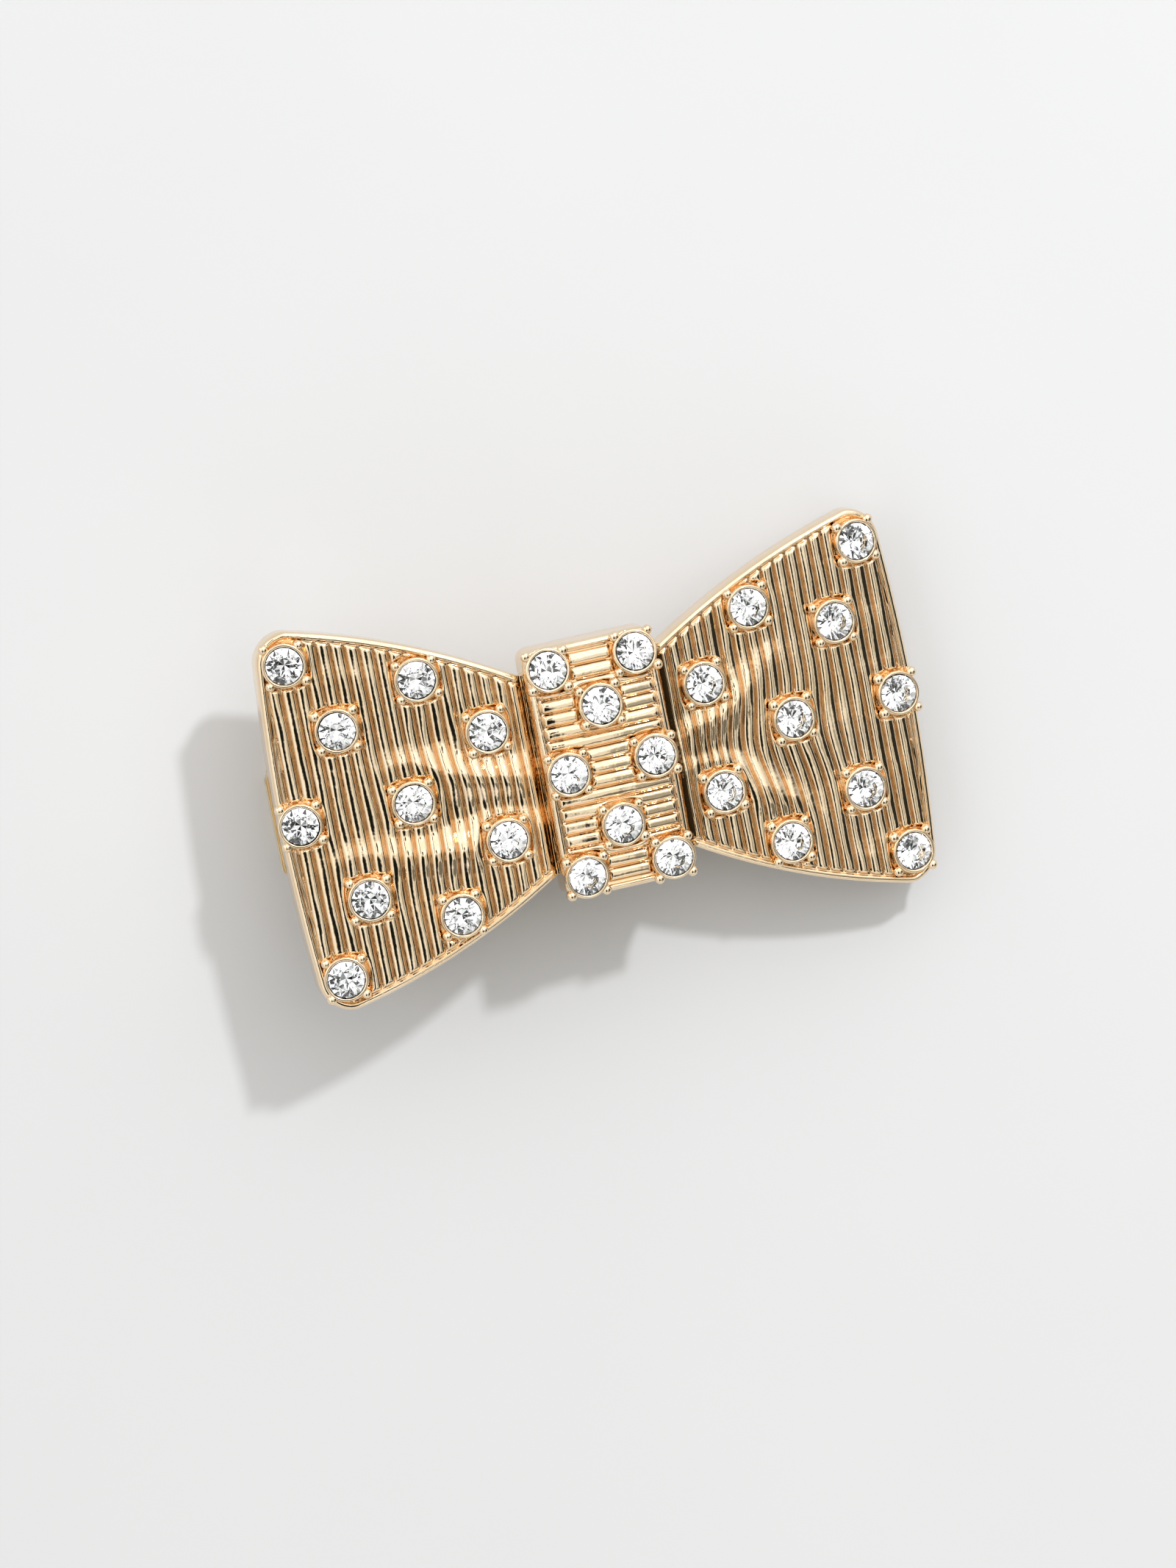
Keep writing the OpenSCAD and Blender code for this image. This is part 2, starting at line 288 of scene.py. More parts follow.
def lathe(shell, profile, matrix, n):
    """A closed turned solid. The profile runs in (r, z) from the axis to the axis."""
    inner = profile[1:-1]
    turn = np.arange(n) * 2 * math.pi / n
    rows = [np.stack([r * np.cos(turn), r * np.sin(turn), np.full(n, z)], 1) for r, z in inner]
    points = np.concatenate(rows + [[[0, 0, profile[0][1]], [0, 0, profile[-1][1]]]])
    faces = ring_faces(len(inner), n)
    first, last, base = len(inner) * n, len(inner) * n + 1, (len(inner) - 1) * n
    faces += [[first, (i + 1) % n, i] for i in range(n)]
    faces += [[last, base + i, base + (i + 1) % n] for i in range(n)]
    shell.add(moved(points, matrix), faces)


def on_wing(x, y):
    """The place of a setting on a wing's face, turned to stand square on it."""
    turn = Matrix.Rotation(math.asin(x / FACE_R), 4, "Y")
    return Matrix.Translation((x, y, crown_z(x, FACE_R))) @ turn


def on_knot(x, y):
    """The place of a setting on the knot's face."""
    turn = Matrix.Rotation(-math.asin(y / KNOT_R), 4, "X")
    return Matrix.Translation((x, y, KNOT_RISE + crown_z(y, KNOT_R))) @ turn


# ---------------------------------------------------------------- cast relief

# All in mm. The border's rounding and its drop, and where its channel starts and ends. Then the
# channel's depth, the way on which the ribs rise from it, and the rounding of a casting's back.
RIM_ROUND, RIM_DROP, RIM_TOP, RIM_IN = 0.36, 0.45, 0.44, 0.62
CHANNEL, CHANNEL_RISE, BACK_ROUND = 0.24, 0.36, 0.3
# The depth of a groove and half its width, the roundness of its bed, and the fall of a rib's crest
GROOVE, GROOVE_HALF, GROOVE_BED, RIB_CROWN = 0.25, 0.26, 0.03, 0.16
# How uneven the surface is, and how far the ribs lean
LUMP, LEAN = 0.016, 0.045
# The pocket round a setting: its depth, its reach, where the ribs are whole again, and how square it is
POCKET, POCKET_IN, POCKET_OUT, SQUARE = 0.3, 1.9, 2.2, 3.4
# The well under a crystal: its two rings of points, its floor, and how near to a wall it may come
WELL_R, WELL_RIM, WELL_Z, WELL_WALL = 1.6, 1.74, -1.22, 0.15
# The knot's crown from side to side, and how far from the middle the wings' ribs start
KNOT_SIDE_R, CREASE_X = 34, 6.0
# The distances from the outline that get a ring of points, and how near to it distances are exact
RINGS = (0.015, 0.05, 0.1, 0.17, 0.26, 0.36, 0.44, 0.5, 0.56, 0.62, 0.7, 0.78, 0.88)
NEAR = 2.2


def arc(a, b, h, steps):
    """Points from a to b along an arc that rises by h to the left."""
    a, b = np.array(a, float), np.array(b, float)
    chord = np.linalg.norm(b - a)
    along = (b - a) / chord
    side = np.array([-along[1], along[0]])
    r = (chord ** 2 / 4 + h * h) / (2 * h)
    centre = (a + b) / 2 + side * (h - r)
    half = math.asin(chord / 2 / r)
    t = half * (2 * np.arange(steps + 1) / steps - 1)
    return centre + r * (np.outer(np.sin(t), along) + np.outer(np.cos(t), side))


def even_loop(points, step):
    """The closed line through the points, resampled evenly and with its kinks eased."""
    points = np.array(points)
    line = np.concatenate([points, points[:1]])
    at = np.concatenate([[0], np.cumsum(np.linalg.norm(np.diff(line, axis=0), axis=1))])
    n = int(at[-1] / step)
    t = np.arange(n) * at[-1] / n
    loop = np.stack([np.interp(t, at, line[:, k]) for k in (0, 1)], 1)
    for _ in range(12):
        loop = (np.roll(loop, 1, 0) + 2 * loop + np.roll(loop, -1, 0)) / 4
    return loop


def inward(loop):
    """Unit normals into an anticlockwise loop."""
    along = np.roll(loop, -1, 0) - np.roll(loop, 1, 0)
    along /= np.linalg.norm(along, axis=1)[:, None]
    return np.stack([-along[:, 1], along[:, 0]], 1)


def edge_distance(points, loop):
    """Distance of each point from the loop, exact within NEAR of it and rough further in."""
    out = np.full(len(points), 1e3)
    for corner in loop[::8]:
        np.minimum(out, np.hypot(*(points - corner).T), out)
    close = np.flatnonzero(out < NEAR)
    p, best = points[close], np.full(len(close), 1e6)
    order = np.argsort(p[:, 0])
    xs = p[order, 0]
    for a, b in zip(loop, np.roll(loop, -1, 0)):
        i, j = np.searchsorted(xs, (min(a[0], b[0]) - NEAR, max(a[0], b[0]) + NEAR))
        here = order[i:j]
        ab = b - a
        ap = p[here] - a
        t = np.clip(ap @ ab / (ab @ ab), 0, 1)
        best[here] = np.minimum(best[here], ((ap - t[:, None] * ab) ** 2).sum(1))
    out[close] = np.sqrt(best)
    return out


def inside(points, loop):
    """True where a point lies within the loop."""
    x, y = points[:, 0], points[:, 1]
    odd = np.zeros(len(points), bool)
    for (x0, y0), (x1, y1) in zip(loop[::4], np.roll(loop[::4], -1, 0)):
        if y0 != y1:
            odd ^= ((y0 > y) != (y1 > y)) & (x < (x1 - x0) * (y - y0) / (y1 - y0) + x0)
    return odd


def fill(loop, extra):
    """Triangles over the loop's inside, through the extra points.

    Gives the points, the faces and the loop's indices.
    """
    n = len(loop)
    points = np.concatenate([loop, extra])
    edges = [(i, (i + 1) % n) for i in range(n)]
    out, _, faces, source, _, _ = delaunay_2d_cdt([Vector(p) for p in points], edges, [], 1, 1e-4)
    where = {}
    for i, old in enumerate(source):
        for o in old:
            where[o] = i
    return np.array([tuple(p) for p in out]), faces, [where[i] for i in range(n)]


def cast_solid(shell, loop, extra, top, bottom):
    """A cast plate over the loop. top(points, d) gives its face and how much painted shade each point gets.
    """
    n, into = len(loop), inward(loop)
    bands = np.concatenate([loop + into * d for d in RINGS])
    extra = extra[inside(extra, loop)]
    extra = extra[edge_distance(extra, loop) > RINGS[-1] + 0.05]
    points, faces, rim = fill(loop, np.concatenate([bands, extra]))
    d = edge_distance(points, loop)
    d[rim] = 0
    z, crevice = top(points, d)
    shell_points, shell_crevice = [np.column_stack([points, z])], [crevice]
    all_faces = [list(f) for f in faces]
    previous, start = rim, len(points)
    low, edge = bottom(loop), z[rim]
    # The wall goes down in four steps, then round the back's edge
    levels = [(0, mix(edge, low + BACK_ROUND, t)) for t in (0.25, 0.5, 0.75, 1)]
    levels += [(BACK_ROUND * (1 - math.cos(a)), low + BACK_ROUND * (1 - math.sin(a)))
               for a in (0.5, 1.0, math.pi / 2)]
    for inset, height in levels:
        ring = loop + into * inset
        shell_points.append(np.column_stack([ring, height]))
        shell_crevice.append(np.zeros(n))
        now = list(range(start, start + n))
        all_faces += [[previous[i], now[i], now[(i + 1) % n], previous[(i + 1) % n]] for i in range(n)]
        previous, start = now, start + n
    # The back's cap is a coarse mesh on the last ring
    gx, gy = (np.arange(-half, half, 1.1) for half in loop.max(0))
    grid = np.stack(np.meshgrid(gx, gy), -1).reshape(-1, 2)
    grid = grid[inside(grid, loop)]
    grid = grid[edge_distance(grid, loop) > BACK_ROUND + 0.6]
    cap, cap_faces, cap_rim = fill(ring, grid)
    index = {c: previous[i] for i, c in enumerate(cap_rim)}
    fresh = [i for i in range(len(cap)) if i not in index]
    index.update({c: start + k for k, c in enumerate(fresh)})
    shell_points.append(np.column_stack([cap[fresh], bottom(cap[fresh])]))
    shell_crevice.append(np.zeros(len(fresh)))
    all_faces += [[index[i] for i in reversed(f)] for f in cap_faces]
    shell.add(np.concatenate(shell_points), all_faces, np.concatenate(shell_crevice))


def rim_height(d):
    """The smooth border: rounded at the outside, with a narrow channel inside it."""
    outer = -RIM_DROP * (1 - dome(d / RIM_ROUND))
    return outer - CHANNEL * smooth((d - RIM_TOP) / (RIM_IN - RIM_TOP))


uneven = np.random.default_rng(SEED + 1)
RIB_LEAN = uneven.uniform(-1, 1, (97, 4))
LUMP_WAVES = [(math.tau / uneven.uniform(2.6, 7), uneven.uniform(0, math.tau), uneven.uniform(0, math.tau))
              for _ in range(14)]


def lumps(x, y):
    """The slow unevenness of a surface carved and polished by hand, in mm."""
    return sum(LUMP / k * np.sin(k * (x * math.cos(a) + y * math.sin(a)) + f)
               for k, a, f in LUMP_WAVES)


def rib(phase, along):
    """Height below a rib's crest. Grooves lie at whole phases, and each rib leans a little."""
    k = np.floor(phase).astype(int)
    s = 2 * (phase - k) - 1
    steady, swing, rate, start = RIB_LEAN[k % len(RIB_LEAN)].T
    lean = LEAN * (steady + swing * np.sin(along * (0.8 + 0.4 * rate) + 3 * start)) * s * (1 - s * s)
    g = np.abs(phase - np.round(phase)) * RIB_PITCH
    q = np.clip(np.hypot(g, GROOVE_BED) / GROOVE_HALF, 0, 1)
    off_crest = (RIB_PITCH / 2 - g) / (RIB_PITCH / 2)
    return lean - GROOVE * (1 - np.sin(q * math.pi / 2)) - RIB_CROWN * off_crest ** 2


def square_reach(points, spot):
    """Distance from a setting, measured so that equal distances form a rounded square."""
    d = np.abs(points - np.array(spot))
    return (d[:, 0] ** SQUARE + d[:, 1] ** SQUARE) ** (1 / SQUARE)


def ribbed(points, d, phase, along, spots, mask=1):
    """Ribs with rounded ends at the border and at the pockets, and a well under each crystal.

    The mask is 0 where there are no ribs and 1 where they are whole.
    """
    rise = np.minimum(dome((d - RIM_IN) / CHANNEL_RISE), mask)
    for s in spots:
        out = (square_reach(points, s) - POCKET_IN) / (POCKET_OUT - POCKET_IN)
        rise = np.minimum(rise, dome(out))
    height = mix(-POCKET, rib(phase, along), rise)
    within = mix(-CHANNEL, height, smooth((d - RIM_IN) / 0.2))
    height = np.where(d < RIM_IN, rim_height(d), within)
    in_well = (nearest(points, spots) < (WELL_R + WELL_RIM) / 2) & (d > WELL_WALL)
    return np.where(in_well, WELL_Z, height)


def crevices(z, d):
    """How much painted shade each point gets, from 0 to 1, by how deep it lies in a groove."""
    return np.clip((-z - 0.1) / 0.25, 0, 1) * smooth((d - RIM_TOP) / 0.1)


def pleat(u, y, start, slope, bend, amp, width, reach):
    """A soft fold that leaves the knot and dies away along the wing."""
    along = u - KNOT_W / 2
    line = start + slope * along + bend * along ** 2
    across = (y - line) / np.sqrt(1 + (slope + 2 * bend * along) ** 2)
    fade = smooth(1.15 - along / reach) * smooth(along / 4 + 0.3)
    ridge = np.exp(-(across / width) ** 2)
    trough = np.exp(-((across - 1.9 * width) / (1.2 * width)) ** 2)
    return fade * amp * (ridge - 0.55 * trough)


# Start, slope, bend, height, width and reach of each wing's folds, and how far they push its ribs
PLEATS = {
    1: [(-0.5, 0.5, 0, 0.5, 1.5, 12), (-2.6, -0.09, -0.045, 0.5, 1.6, 15)],
    -1: [(-0.5, 0.27, 0, 0.55, 1.5, 15), (-4.3, -0.14, 0.011, 0.6, 1.5, 18)],
}
SWAY = {1: 0.75, -1: 0.35}


def sway(x, y):
    """How far the folds push the ribs along the bow."""
    u, side = np.abs(x), np.sign(x)
    amount = np.where(side > 0, SWAY[1], SWAY[-1])
    fade = smooth((u - 7) / 4) * smooth((22 - u) / 6)
    return -side * amount * fade * np.exp(-((y + 1.4) / 3.2) ** 2)


def wing_top(points, d):
    """The wings' face: ribs and folds, and a low waist that the knot covers."""
    x, y = points[:, 0], points[:, 1]
    u = np.abs(x)
    crease = dome((u - CREASE_X) / 0.4)
    z = ribbed(points, d, (x - sway(x, y)) / RIB_PITCH, y, BOTH_WINGS, crease)
    waist = -POCKET - 0.35 * smooth((CREASE_X - u) / 0.5)
    z = np.where(u < CREASE_X, np.minimum(z, waist), z)
    fold = sum(np.where(np.sign(x) == side, pleat(u, y, *p), 0) for side, ps in PLEATS.items() for p in ps)
    fade = smooth((nearest(points, BOTH_WINGS) - STONE_R) / 2.2) * smooth((d - 0.3) / 2)
    # With the face goes each point's weight of painted shade in the grooves.
    return z + (fold + lumps(x, y)) * fade + crown_z(x, FACE_R), crevices(z, d)


def knot_top(points, d):
    """The knot's face, crowned along and across, with its ribs along X."""
    x, y = points[:, 0], points[:, 1]
    z = ribbed(points, d, y / RIB_PITCH + 0.5, x, KNOT_SPOTS)
    fade = smooth((nearest(points, KNOT_SPOTS) - STONE_R) / 1.2) * smooth((d - 0.3) / 1.2)
    crown = crown_z(y, KNOT_R) + crown_z(x, KNOT_SIDE_R)
    # With the face goes each point's weight of painted shade in the grooves.
    return z + lumps(x, y) * fade + KNOT_RISE + crown, crevices(z, d)


# Where the mesh needs points across one rib, from one groove to the next, in mm
ACROSS = np.array([0, 0.05, 0.11, 0.18, 0.27, 0.4, 0.56, 0.72, 0.85, 0.94, 1.01, 1.07])


def pocket_points(spots):
    """Rings of points round each setting: two for its well, the rest for its pocket's slope."""
    rings = []
    for s in spots:
        t = np.arange(48) * math.tau / 48
        for r in (WELL_R, WELL_RIM):
            rings.append(np.array(s) + r * np.stack([np.cos(t), np.sin(t)], 1))
        for reach in np.arange(1.84, 2.3, 0.065):
            t = np.arange(0, 2 * math.pi, 0.1 / reach)
            c, si = np.cos(t), np.sin(t)
            scale = reach / (np.abs(c) ** SQUARE + np.abs(si) ** SQUARE) ** (1 / SQUARE)
            rings.append(np.stack([s[0] + scale * c, s[1] + scale * si], 1))
    return np.concatenate(rings)


def clear_of(points, spots):
    """The points that aren't in a pocket's own band or under a crystal."""
    keep = np.ones(len(points), bool)
    for s in spots:
        r = square_reach(points, s)
        keep &= (r > 2.3) | ((r < 1.82) & (np.hypot(*(points - s).T) > WELL_RIM + 0.06))
    return points[keep]


def bow_loop():
    """The bow's outline, from one quarter of it."""
    waist, shoulder = (KNOT_W / 2 + 0.15, WAIST_HALF), (BOW_LEN / 2 - 3.2, BOW_H / 2)
    corner, end = (BOW_LEN / 2 - 0.6, BOW_H / 2 - 2.7), (BOW_LEN / 2, 0)
    quarter = np.concatenate([arc(waist, shoulder, 0.8, 60)[:-1], arc(shoulder, corner, 0.75, 30)[:-1],
                              arc(corner, end, 0.12, 40)])
    half = np.concatenate([quarter, (quarter * [1, -1])[::-1][1:]])
    return np.concatenate([half, -half])[::-1]


def boss_loop(step):
    x, y = BOSS_LEN / 2, BOSS_W / 2
    return even_loop([(-x, -y), (x, -y), (x, y), (-x, y)], step)


def build_bow():
    shell = Shell()
    loop = even_loop(bow_loop(), 0.105)
    count = int(BOW_LEN / 2 / RIB_PITCH) + 1
    xs = np.concatenate([k * RIB_PITCH + ACROSS for k in range(-count, count)])
    xs = xs[np.abs(xs) > 5.2]
    ys = np.arange(-BOW_H / 2, BOW_H / 2, 0.19)
    gx, gy = np.meshgrid(xs, ys)
    grid = np.stack([gx + sway(gx, gy), gy], -1).reshape(-1, 2)
    core = np.stack(np.meshgrid(np.arange(-5, 5.1, 0.6), np.arange(-8, 8.1, 0.6)), -1).reshape(-1, 2)
    extra = np.concatenate([clear_of(grid, BOTH_WINGS), pocket_points(BOTH_WINGS), core])
    cast_solid(shell, loop, extra, wing_top, lambda p: crown_z(p[:, 0], FACE_R) - PLATE_T)
    # The boss on the back, flared where it leaves the plate: how far in, and how high
    boss = boss_loop(0.25)
    into = inward(boss)
    back, foot = -PLATE_T, ARM_TOP + SOLDER_T
    sections = [(-0.55, back + 0.1), (-0.5, back - 0.04), (-0.22, back - 0.15), (-0.06, back - 0.4),
                (0, back - 0.8), (0, foot + 0.15), (0.05, foot + 0.04), (0.16, foot)]
    loft(shell, [np.column_stack([boss + into * o, np.full(len(boss), z)]) for o, z in sections])
    shell.piece("bow_casting", [casting], "bow", ["bow_plate"])


def build_knot():
    shell = Shell()
    hx, hy, r = KNOT_W / 2, KNOT_LEN / 2, 0.9
    px, py = hx - r, hy - r
    corners = []
    for cx, cy, a in ((px, -py, -90), (px, py, 0), (-px, py, 90), (-px, -py, 180)):
        for t in np.radians(np.arange(a, a + 91, 9)):
            corners.append((cx + r * math.cos(t), cy + r * math.sin(t)))
    loop = even_loop(corners, 0.09)
    count = int(hy / RIB_PITCH) + 1
    ys = np.concatenate([(k + 0.5) * RIB_PITCH + ACROSS for k in range(-count - 1, count)])
    gx, gy = np.meshgrid(np.arange(-hx, hx, 0.16), ys)
    grid = np.stack([gx, gy], -1).reshape(-1, 2)
    extra = np.concatenate([clear_of(grid, KNOT_SPOTS), pocket_points(KNOT_SPOTS)])

    def bottom(p):
        """The strap's back: on the waist, and lower where it wraps past it."""
        return np.where(np.abs(p[:, 1]) > WAIST_HALF + 0.05, -PLATE_T, -PLATE_T / 2)

    cast_solid(shell, loop, extra, knot_top, bottom)
    shell.piece("knot_casting", [casting], "bow", ["knot_band"])


# ---------------------------------------------------------------- settings and crystals

# A collet's section from its foot, over its rim and down to its seat, as radius and height
COLLET = [(0, -1.25), (1.7, -1.2), (1.8, 0), (1.83, 0.3), (1.825, 0.42), (1.79, 0.5), (1.73, 0.545),
          (1.66, 0.55), (1.6, 0.53), (1.565, 0.48), (1.55, 0.4), (1.545, 0.28), (1.5, 0.15),
          (0.9, -0.42), (0, -1.1)]


def tip(by):
    """A small random tilt about X and then Y."""
    return Matrix.Rotation(rng.uniform(-by, by), 4, "X") @ Matrix.Rotation(rng.uniform(-by, by), 4, "Y")


def bead(shell, matrix, r, squash):
    """A prong's ball, with a short root that sinks into the casting."""
    profile = [(0, -0.5), (r * 0.92, -0.45), (r * 0.94, -0.1)]
    profile += [(r * math.cos(a), r * squash * math.sin(a)) for a in np.radians(np.arange(-10, 90, 14))]
    profile += [(0, r * squash)]
    lathe(shell, profile, matrix, 20)


def add_settings(shell, places):
    """A collet and four prongs at each place."""
    for place in places:
        at = place @ tip(0.02)
        lathe(shell, COLLET, at, 60)
        for k in range(4):
            turn = math.radians(45 + 90 * k + rng.uniform(-4, 4))
            reach, r = PRONG_REACH + rng.uniform(-0.07, 0.05), PRONG_R * rng.uniform(0.9, 1.06)
            high = rng.uniform(0.14, 0.24)
            spot = Matrix.Translation((reach * math.cos(turn), reach * math.sin(turn), high))
            bead(shell, at @ spot, r, rng.uniform(0.92, 1.08))


def circle(r, z, n, off):
    """n points round a circle, from off steps past the X axis."""
    return [(r * math.cos(a), r * math.sin(a), z) for a in (np.arange(n) + off) * 2 * math.pi / n]


def brilliant():
    """Points and faces of a chaton. The crown's faces come first, then the pavilion's."""
    top = GIRDLE_Z + CROWN_H
    girdle = GIRDLE_Z + GIRDLE_T
    table = circle(TABLE_R, top, 8, 0.5)
    star = circle(1.16, mix(girdle, top, 0.58), 8, 0)
    upper = circle(STONE_R, girdle, 16, 0)
    lower = circle(STONE_R, GIRDLE_Z, 16, 0)
    deep = circle(0.52, GIRDLE_Z - PAVILION_H * 0.66, 8, 0)
    points = table + star + upper + lower + deep + [(0, 0, GIRDLE_Z - PAVILION_H)]
    # Where each of these rings starts among the points, and the tip at the bottom
    T, S, U, L, D, C = 0, 8, 16, 32, 48, 56
    crown = [[T + k for k in range(8)]]
    for k in range(8):
        k1 = (k + 1) % 8
        g = 2 * k
        crown.append([T + (k - 1) % 8, T + k, S + k][::-1])
        crown.append([T + k, S + k, U + g + 1, S + k1])
        crown.append([S + k, U + g, U + g + 1])
        crown.append([S + k, U + (g - 1) % 16, U + g])
    belt = [[U + i, L + i, L + (i + 1) % 16, U + (i + 1) % 16] for i in range(16)]
    pavilion = []
    for k in range(8):
        k1 = (k + 1) % 8
        g = 2 * k
        pavilion.append([D + k, L + g + 1, D + k1, C])
        pavilion.append([D + k, L + g + 1, L + g])
        pavilion.append([D + k, L + g, L + (g - 1) % 16])
    return np.array(points), crown + belt, pavilion


def build_crystals(names, places):
    """A crystal at each place, with its own turn and a small tip about its girdle."""
    points, crown, pavilion = brilliant()
    slots = [0] * len(crown) + [1] * len(pavilion)
    raise_girdle, lower_girdle = (Matrix.Translation((0, 0, z)) for z in (GIRDLE_Z, -GIRDLE_Z))
    for name, place in zip(names, places):
        turn = Matrix.Rotation(rng.uniform(0, math.tau), 4, "Z")
        at = place @ raise_girdle @ tip(0.05) @ lower_girdle @ turn
        shell = Shell()
        shell.add(moved(points, at), crown + pavilion, slots=slots)
        shell.piece("cut_" + name, [glass, foil], "bow", [name], sharp=1)


# ---------------------------------------------------------------- the clip

# The rounding of the sheet's edges, the shortest edge that takes it, and the angle that makes an edge
EASE, EASED_LENGTH, EDGE_ANGLE = 0.12, 1.0, math.radians(40)


def eased_copy(node, name, mat, body):
    """The CAD node's shape with its longer sheet edges rounded, as stamped metal has."""
    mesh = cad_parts[node].data.copy()
    mesh.materials.clear()
    mesh.materials.append(mat)
    work = bmesh.new()
    work.from_mesh(mesh)
    bmesh.ops.remove_doubles(work, verts=work.verts, dist=2e-6)
    bmesh.ops.dissolve_limit(work, angle_limit=math.radians(1.5), verts=work.verts, edges=work.edges)
    bmesh.ops.dissolve_degenerate(work, dist=0.08 * MM, edges=work.edges)
    weight = work.edges.layers.float.new("bevel_weight_edge")
    for e in work.edges:
        if e.calc_length() > EASED_LENGTH * MM and e.calc_face_angle(0) > EDGE_ANGLE:
            e[weight] = 1.0
    work.to_mesh(mesh)
    work.free()
    o = bpy.data.objects.new(name, mesh)
    bpy.context.scene.collection.objects.link(o)
    ease = o.modifiers.new("ease", "BEVEL")
    ease.width, ease.segments, ease.limit_method = EASE * MM, 2, "WEIGHT"
    ease.use_clamp_overlap = False
    ease.harden_normals = True
    weld = o.modifiers.new("weld", "WELD")
    weld.merge_threshold = 0.002 * MM
    mesh.shade_smooth()
    mesh.set_sharp_from_angle(angle=EDGE_ANGLE)
    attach(o, body)
    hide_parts(node)


def build_pin():
    """The pin, with a domed head riveted over each ear."""
    half = CLIP_W / 2 + 0.02
    r, h = HEAD_D / 2, HEAD_T
    end = [(0, half + h), (0.4, half + h - 0.01), (0.75, half + h * 0.86), (0.98, half + h * 0.6),
           (r, half + h * 0.25), (r, half), (PIN_D / 2, half - 0.02)]
    profile = [(a, -z) for a, z in end] + end[::-1]
    shell = Shell()
    at = Matrix.Translation((PIN_X, 0, PIN_Z)) @ Matrix.Rotation(math.pi / 2, 4, "X")
    lathe(shell, profile, at, 40)
    shell.piece("rivet_pin", [pin_metal], "bow", ["hinge_pin"], sharp=50)


def build_spring():
    """The spring's wire: one leg on each jaw and four and a half turns between them."""
    last = math.radians(4 * 360 + 180 - LEVER_SLOPE)
    half = COIL_PITCH * last / (4 * math.pi)
    leg, slope = 6.5, math.radians(LEVER_SLOPE)
    a = np.linspace(0, last, 190)
    coil = np.stack([PIN_X + COIL_R * np.sin(a), 2 * half * a / last - half,
                     PIN_Z + COIL_R * np.cos(a)], 1)
    t = np.linspace(1, 0.06, 8)[:, None]
    first = coil[0] + t * [-leg, 0, 0.3]
    final = coil[-1] + t[::-1] * [-leg * math.cos(slope), 0, -leg * math.sin(slope)]
    path = np.concatenate([first, coil, final])
    along = np.gradient(path, axis=0)
    along /= np.linalg.norm(along, axis=1)[:, None]
    n, r, rings = 14, WIRE_D / 2, []
    w = np.arange(n) * 2 * math.pi / n
    sidewise = np.array([0, 1.0, 0])
    for p, t in zip(path, along):
        s = sidewise - t * (t @ sidewise)
        s /= np.linalg.norm(s)
        up = np.cross(t, s)
        rings.append(p + r * (np.outer(np.cos(w), s) + np.outer(np.sin(w), up)))

    def rounded_end(ring, p, t):
        return [p + (ring - p) * k + t * r * q for k, q in ((0.5, 0.5), (0.85, 0.3))]

    rings = (rounded_end(rings[0], path[0], -along[0]) + rings
             + rounded_end(rings[-1], path[-1], along[-1])[::-1])
    shell = Shell()
    loft(shell, rings)
    o = shell.piece("spring_wire", [spring_metal], None, ["torsion_spring"], sharp=50)
    ends_at = [tuple(TO_ROW @ Vector((PIN_X, y, PIN_Z))) for y in (-half, half)]
    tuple(ends_at[0])
    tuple(ends_at[1])
    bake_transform(o)


def build_solder():
    """Tin solder with a wavy fillet round the joint."""
    loop = boss_loop(0.2)
    into = inward(loop)
    t = np.arange(len(loop)) / len(loop) * math.tau
    wave = 0.09 * np.sin(5 * t + 1) + 0.06 * np.sin(11 * t) + 0.04 * np.sin(23 * t + 2)
    rings = []
    for out, z in ((0.42, 0.0), (0.4, 0.06), (0.26, 0.14), (0.12, 0.3), (0.05, 0.5)):
        spill = (out * (1 + 0.9 * wave / 0.19 * 0.5))[:, None]
        rings.append(np.column_stack([loop - into * spill, np.full(len(loop), ARM_TOP + z)]))
    shell = Shell()
    loft(shell, rings)
    shell.piece("solder_fillet", [tin], "bow", ["solder_pad"], sharp=60)


build_bow()
build_knot()
left_places, right_places = ([on_wing(m * x, y) for x, y in WING_SPOTS] for m in (-1, 1))
knot_places = [on_knot(x, y) for x, y in KNOT_SPOTS]
for part, places, node in (("left", left_places, "bow_plate"), ("right", right_places, "bow_plate"),
                           ("knot", knot_places, "knot_band")):
    shell = Shell()
    add_settings(shell, places)
    shell.piece(f"{part}_settings", [settings_gilt], "bow", [node])
    build_crystals([f"{part}_stone_{i + 1}" for i in range(len(places))], places)
eased_copy("upper_jaw", "upper_sheet", sheet_gilt, "bow")
eased_copy("lower_jaw", "lower_sheet", sheet_gilt, "jaw")
build_pin()
build_spring()
build_solder()


# ---------------------------------------------------------------- floor, camera and light

def floor():
    m, nodes, links, p = material("floor")
    tone = ramp(nodes, links, noise(nodes, links, 30),
                [(0.3, (0.66, 0.662, 0.675)), (0.7, (0.67, 0.672, 0.685))])
    links.new(tone, p.inputs["Base Color"])
    p.inputs["Roughness"].default_value = 0.9
    p.inputs["Specular IOR Level"].default_value = 0.1
    work = bmesh.new()
    bmesh.ops.create_grid(work, x_segments=8, y_segments=8, size=1.5)
    mesh = bpy.data.meshes.new("floor")
    work.to_mesh(mesh)
    work.free()
    mesh.materials.append(m)
    o = bpy.data.objects.new("floor", mesh)
    bpy.context.scene.collection.objects.link(o)


# The bow's turn about its own axes as the camera sees it, in degrees. Then in mm the height of the
# field, the camera's distance, the bow's place in the field, and the sensor.
VIEW_TURN = (9, 10.5, 12.6)
FIELD_H, DISTANCE, BOW_AT, SENSOR = 126.7, 600, (1.49, 1.81), 36


